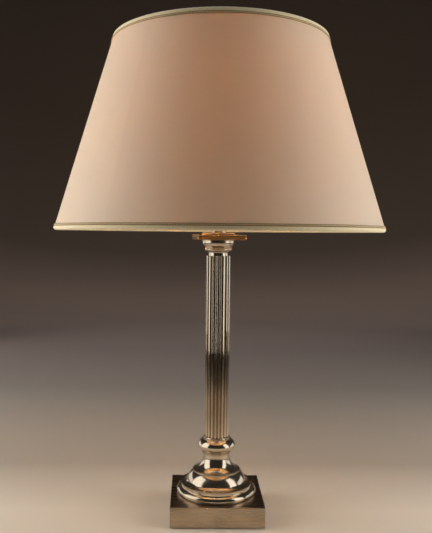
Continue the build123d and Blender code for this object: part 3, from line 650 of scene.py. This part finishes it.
def tape_section(wire_z, up):
    """Loop of (radius, height) of the tape folded round a rim."""
    outer = CONE.radius(wire_z) + GAP
    roll = CONE.roll_r
    middle = outer - roll
    edge = CONE.rim(wire_z, up) + up * TAPE_H
    edge_out = CONE.radius(edge) + GAP
    outside, inside = [], []
    for share in np.linspace(0, 1, TAPE_STEPS):
        z = edge + (wire_z - edge) * share
        r = edge_out + (outer - edge_out) * share
        outside.append((r + TAPE_T, z))
        inside.append((r, z))
    for turn in np.linspace(0, math.pi, ROLL_STEPS)[1:]:
        for loop, reach in ((outside, roll + TAPE_T), (inside, roll)):
            loop.append((middle + reach * math.cos(turn), wire_z - up * reach * math.sin(turn)))
    for share in np.linspace(0, 1, TAPE_STEPS)[1:]:
        z = wire_z + (edge - wire_z) * share
        outside.append((middle - roll - TAPE_T, z))
        inside.append((middle - roll, z))
    loop = outside + inside[::-1]
    return loop if up < 0 else loop[::-1]


def make_tape(name, wire_z, up, node, material):
    """Tape folded round the rim, with the small puckers that the fold gives it."""
    section = tape_section(wire_z, up)
    length = 2 * math.pi * CONE.radius(wire_z)
    puckers = round(length / PUCKER_PITCH)

    def shape(angle, radius, height):
        drift = PUCKER_DRIFT * math.sin(PUCKER_DRIFTS * angle)
        slip = PUCKER * math.sin(puckers * angle + drift)
        wave = ripple(angle, wire_z, TAPE_RIPPLE)
        share = np.clip(np.abs(height - wire_z) / TAPE_H, 0, 1)
        return radius + wave + slip * share, height + PUCKER_SLIP * slip * share

    tape = section_turned(name, section, even_angles(TAPE_POINTS), material, shape)
    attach(tape, "shade")
    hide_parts(node)


def make_braid(name, wire_z, up, node, materials):
    """Twisted cords side by side on the skin."""
    pitch = BRAID_W / len(materials)
    for index, material in enumerate(materials):
        level = CONE.rim(wire_z, up) + up * (TAPE_H + GAP + pitch * (index + 0.5))
        radius = CONE.radius(level) + GAP + CORD_OUT
        cord = twisted_ring(f"{name}_{index + 1}", radius, level, 0.5 * pitch, material)
        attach(cord, "shade")
        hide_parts(node)


def twisted_ring(name, radius, level, size, material):
    """Ring of two strands twisted together: a section with two lobes that turns as it goes."""
    steps = CORD_STEPS * round(2 * math.pi * radius / CORD_LAY)
    points = even_angles(CORD_POINTS)
    verts = []
    for k in range(steps):
        angle = 2 * math.pi * k / steps
        twist = math.pi * k / CORD_STEPS
        reach = size * (STRAND_R + STRAND_SWELL * np.cos(2 * (points - twist)))
        wave = ripple(angle, level, CORD_RIPPLE)
        r = radius + wave * RIPPLE_OUT + reach * np.cos(points)
        z = level + wave * RIPPLE_UP + reach * np.sin(points)
        verts.append(at_angle(angle, r, z))
    return add_object(name, np.concatenate(verts), ring_faces(steps, CORD_POINTS), material)


FELT_POINTS = 62
FELT_SHARE = 1 - 0.002  # of the pad's side, so that the frayed edge stays within it
FELT_UNDER = 0.02 * MM  # below the base plate
FRAY = 0.25 * MM
FRAY_SCALE = 400
FRAY_BAND = 0.1 * MM


def make_felt(material):
    """Felt under the base plate, cut by hand and a little fuzzy at its edge."""
    low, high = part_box("felt_pad")
    side = high.x - low.x
    count = FELT_POINTS
    grid = np.linspace(-0.5, 0.5, count) * side
    verts = []
    for top in (0, 1):
        z = high.z - FELT_UNDER if top else 0.0
        for y in grid:
            for x in grid:
                edge = max(abs(x), abs(y)) > side / 2 - FRAY_BAND
                frayed = FRAY * noise.noise(Vector((x, y, 0.3 * top)) * FRAY_SCALE) if edge else 0.0
                verts.append((x * FELT_SHARE + frayed, y * FELT_SHARE + frayed, z))
    layer = count * count
    faces = []
    for j in range(count - 1):
        for i in range(count - 1):
            a = j * count + i
            b, c, d = a + 1, a + count + 1, a + count
            faces.append((a, d, c, b))
            faces.append((a + layer, b + layer, c + layer, d + layer))
    border = list(range(count))
    border += [j * count + count - 1 for j in range(1, count)]
    border += [layer - 1 - i for i in range(1, count)]
    border += [(count - 1 - j) * count for j in range(1, count - 1)]
    for here, there in zip(border, border[1:] + border[:1]):
        faces.append((here, there, there + layer, here + layer))
    felt = add_object("felt", verts, faces, material, smooth=False)
    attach(felt, "stand")
    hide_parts("felt_pad")


def make_shade():
    skin = satin("satin", (0.75, 0.77, 0.69), (0.72, 0.72, 0.62))
    lining = lining_card("lining", (0.88, 0.77, 0.58), (0.82, 0.70, 0.50))
    tape = ribbed_cloth("cream_tape", (0.88, 0.77, 0.50), (0.74, 0.61, 0.36), 1500, 0.10 * MM)
    olive = ribbed_cloth("olive_cord", (0.44, 0.30, 0.12), (0.24, 0.15, 0.05), 2600, 0.08 * MM)
    pale = ribbed_cloth("pale_cord", (0.82, 0.67, 0.40), (0.60, 0.45, 0.23), 2600, 0.08 * MM)
    make_skin(skin, lining)
    for end, wire_z, up in (("lower", CONE.low_z, 1), ("upper", CONE.top_z, -1)):
        make_tape(f"shade_{end}_tape", wire_z, up, f"shade_{end}_binding", tape)
        make_braid(f"shade_{end}_cord", wire_z, up, f"shade_{end}_braid", (olive, pale, olive))


# Dressing of the CAD nodes ------------------------------------------------------------------------
def dress(material, *nodes):
    for node in nodes:
        NODES[node].data.materials.clear()
        NODES[node].data.materials.append(material)


def dress_metals():
    stacked = ("plinth", "foot_ring", "base_drum", "base_neck", "capital", "abacus")
    grooves = [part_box(node)[1].z for node in stacked]  # the joints at their tops
    turned = turned_metal("silver_turned", SILVER, SILVER_TARNISH, 0.10, grooves)
    holder = turned_metal("silver_holder", (0.78, 0.70, 0.56), SILVER_TARNISH, 0.22)
    shaft = shaft_metal("silver_shaft", (0.80, 0.70, 0.57), SILVER_TARNISH, 0.04)
    plinth = brushed_metal("silver_brushed", (0.50, 0.41, 0.305), (0.33, 0.26, 0.185), 0.24)
    # the abacus's warm brown is partly tarnished silver and partly a painted reflection of the
    # shade's orange glow
    abacus = brushed_metal("silver_abacus_painted_glow", (0.56, 0.39, 0.22), (0.36, 0.23, 0.11), 0.26)
    steel = plain_metal("zinc_steel", (0.60, 0.60, 0.60), (0.45, 0.45, 0.44), 0.30)
    brass = plain_metal("bright_brass", (0.85, 0.66, 0.34), (0.70, 0.50, 0.22), 0.18)
    aluminium = plain_metal("cap_aluminium", (0.82, 0.82, 0.80), (0.66, 0.66, 0.64), 0.22)
    dress(turned, "foot_ring", "base_drum", "base_neck", "collar_ring")
    dress(turned, "capital", "holder_disc", "holder_stem")
    dress(holder, "holder_cap", "holder_skirt")
    dress(shaft, "column_shaft")
    dress(plinth, "plinth")
    dress(abacus, "abacus")
    dress(steel, "base_plate", "base_screws", "base_washer", "base_nut")
    dress(steel, "threaded_tube", "holder_locknut")
    dress(brass, "screw_shell", "centre_contact", "terminal_screws", "bulb_contact")
    dress(aluminium, "bulb_cap")


def dress_others():
    iron = moulded("black_iron", (0.05, 0.05, 0.05), (0.08, 0.075, 0.07), 0.55)
    rubber = moulded("black_rubber", (0.025, 0.025, 0.025), (0.045, 0.045, 0.045), 0.65)
    china = moulded("porcelain", (0.86, 0.85, 0.81), (0.80, 0.78, 0.73), 0.12, Coat_Weight=0.6)
    plastic = moulded(
        "black_phenolic", (0.022, 0.020, 0.019), (0.040, 0.036, 0.034), 0.22, Coat_Weight=0.3
    )
    jet = moulded("black_glass", (0.012, 0.012, 0.014), (0.02, 0.02, 0.02), 0.06)
    coated = moulded("white_coating", (0.80, 0.77, 0.70), (0.70, 0.66, 0.58), 0.34)
    dress(iron, "base_weight")
    dress(rubber, "cord_bush")
    dress(china, "holder_core")
    dress(plastic, "switch_bar", "shade_clamp_ring")
    dress(jet, "bulb_insulator")
    dress(coated, "shade_hub", "shade_spokes", "shade_lower_wire", "shade_upper_wire")
    dress(clear_glass("bulb_clear", (1.0, 0.97, 0.92)), "bulb_glass", "bulb_stem")
    dress(glowing("hot_wire", (1.0, 0.55, 0.18), 40.0), "bulb_filament")


make_camera()
make_stage()
make_lights()
dress_metals()
dress_others()
make_shade()
make_felt(felt_cloth("green_felt", (0.020, 0.032, 0.022), (0.055, 0.075, 0.055)))
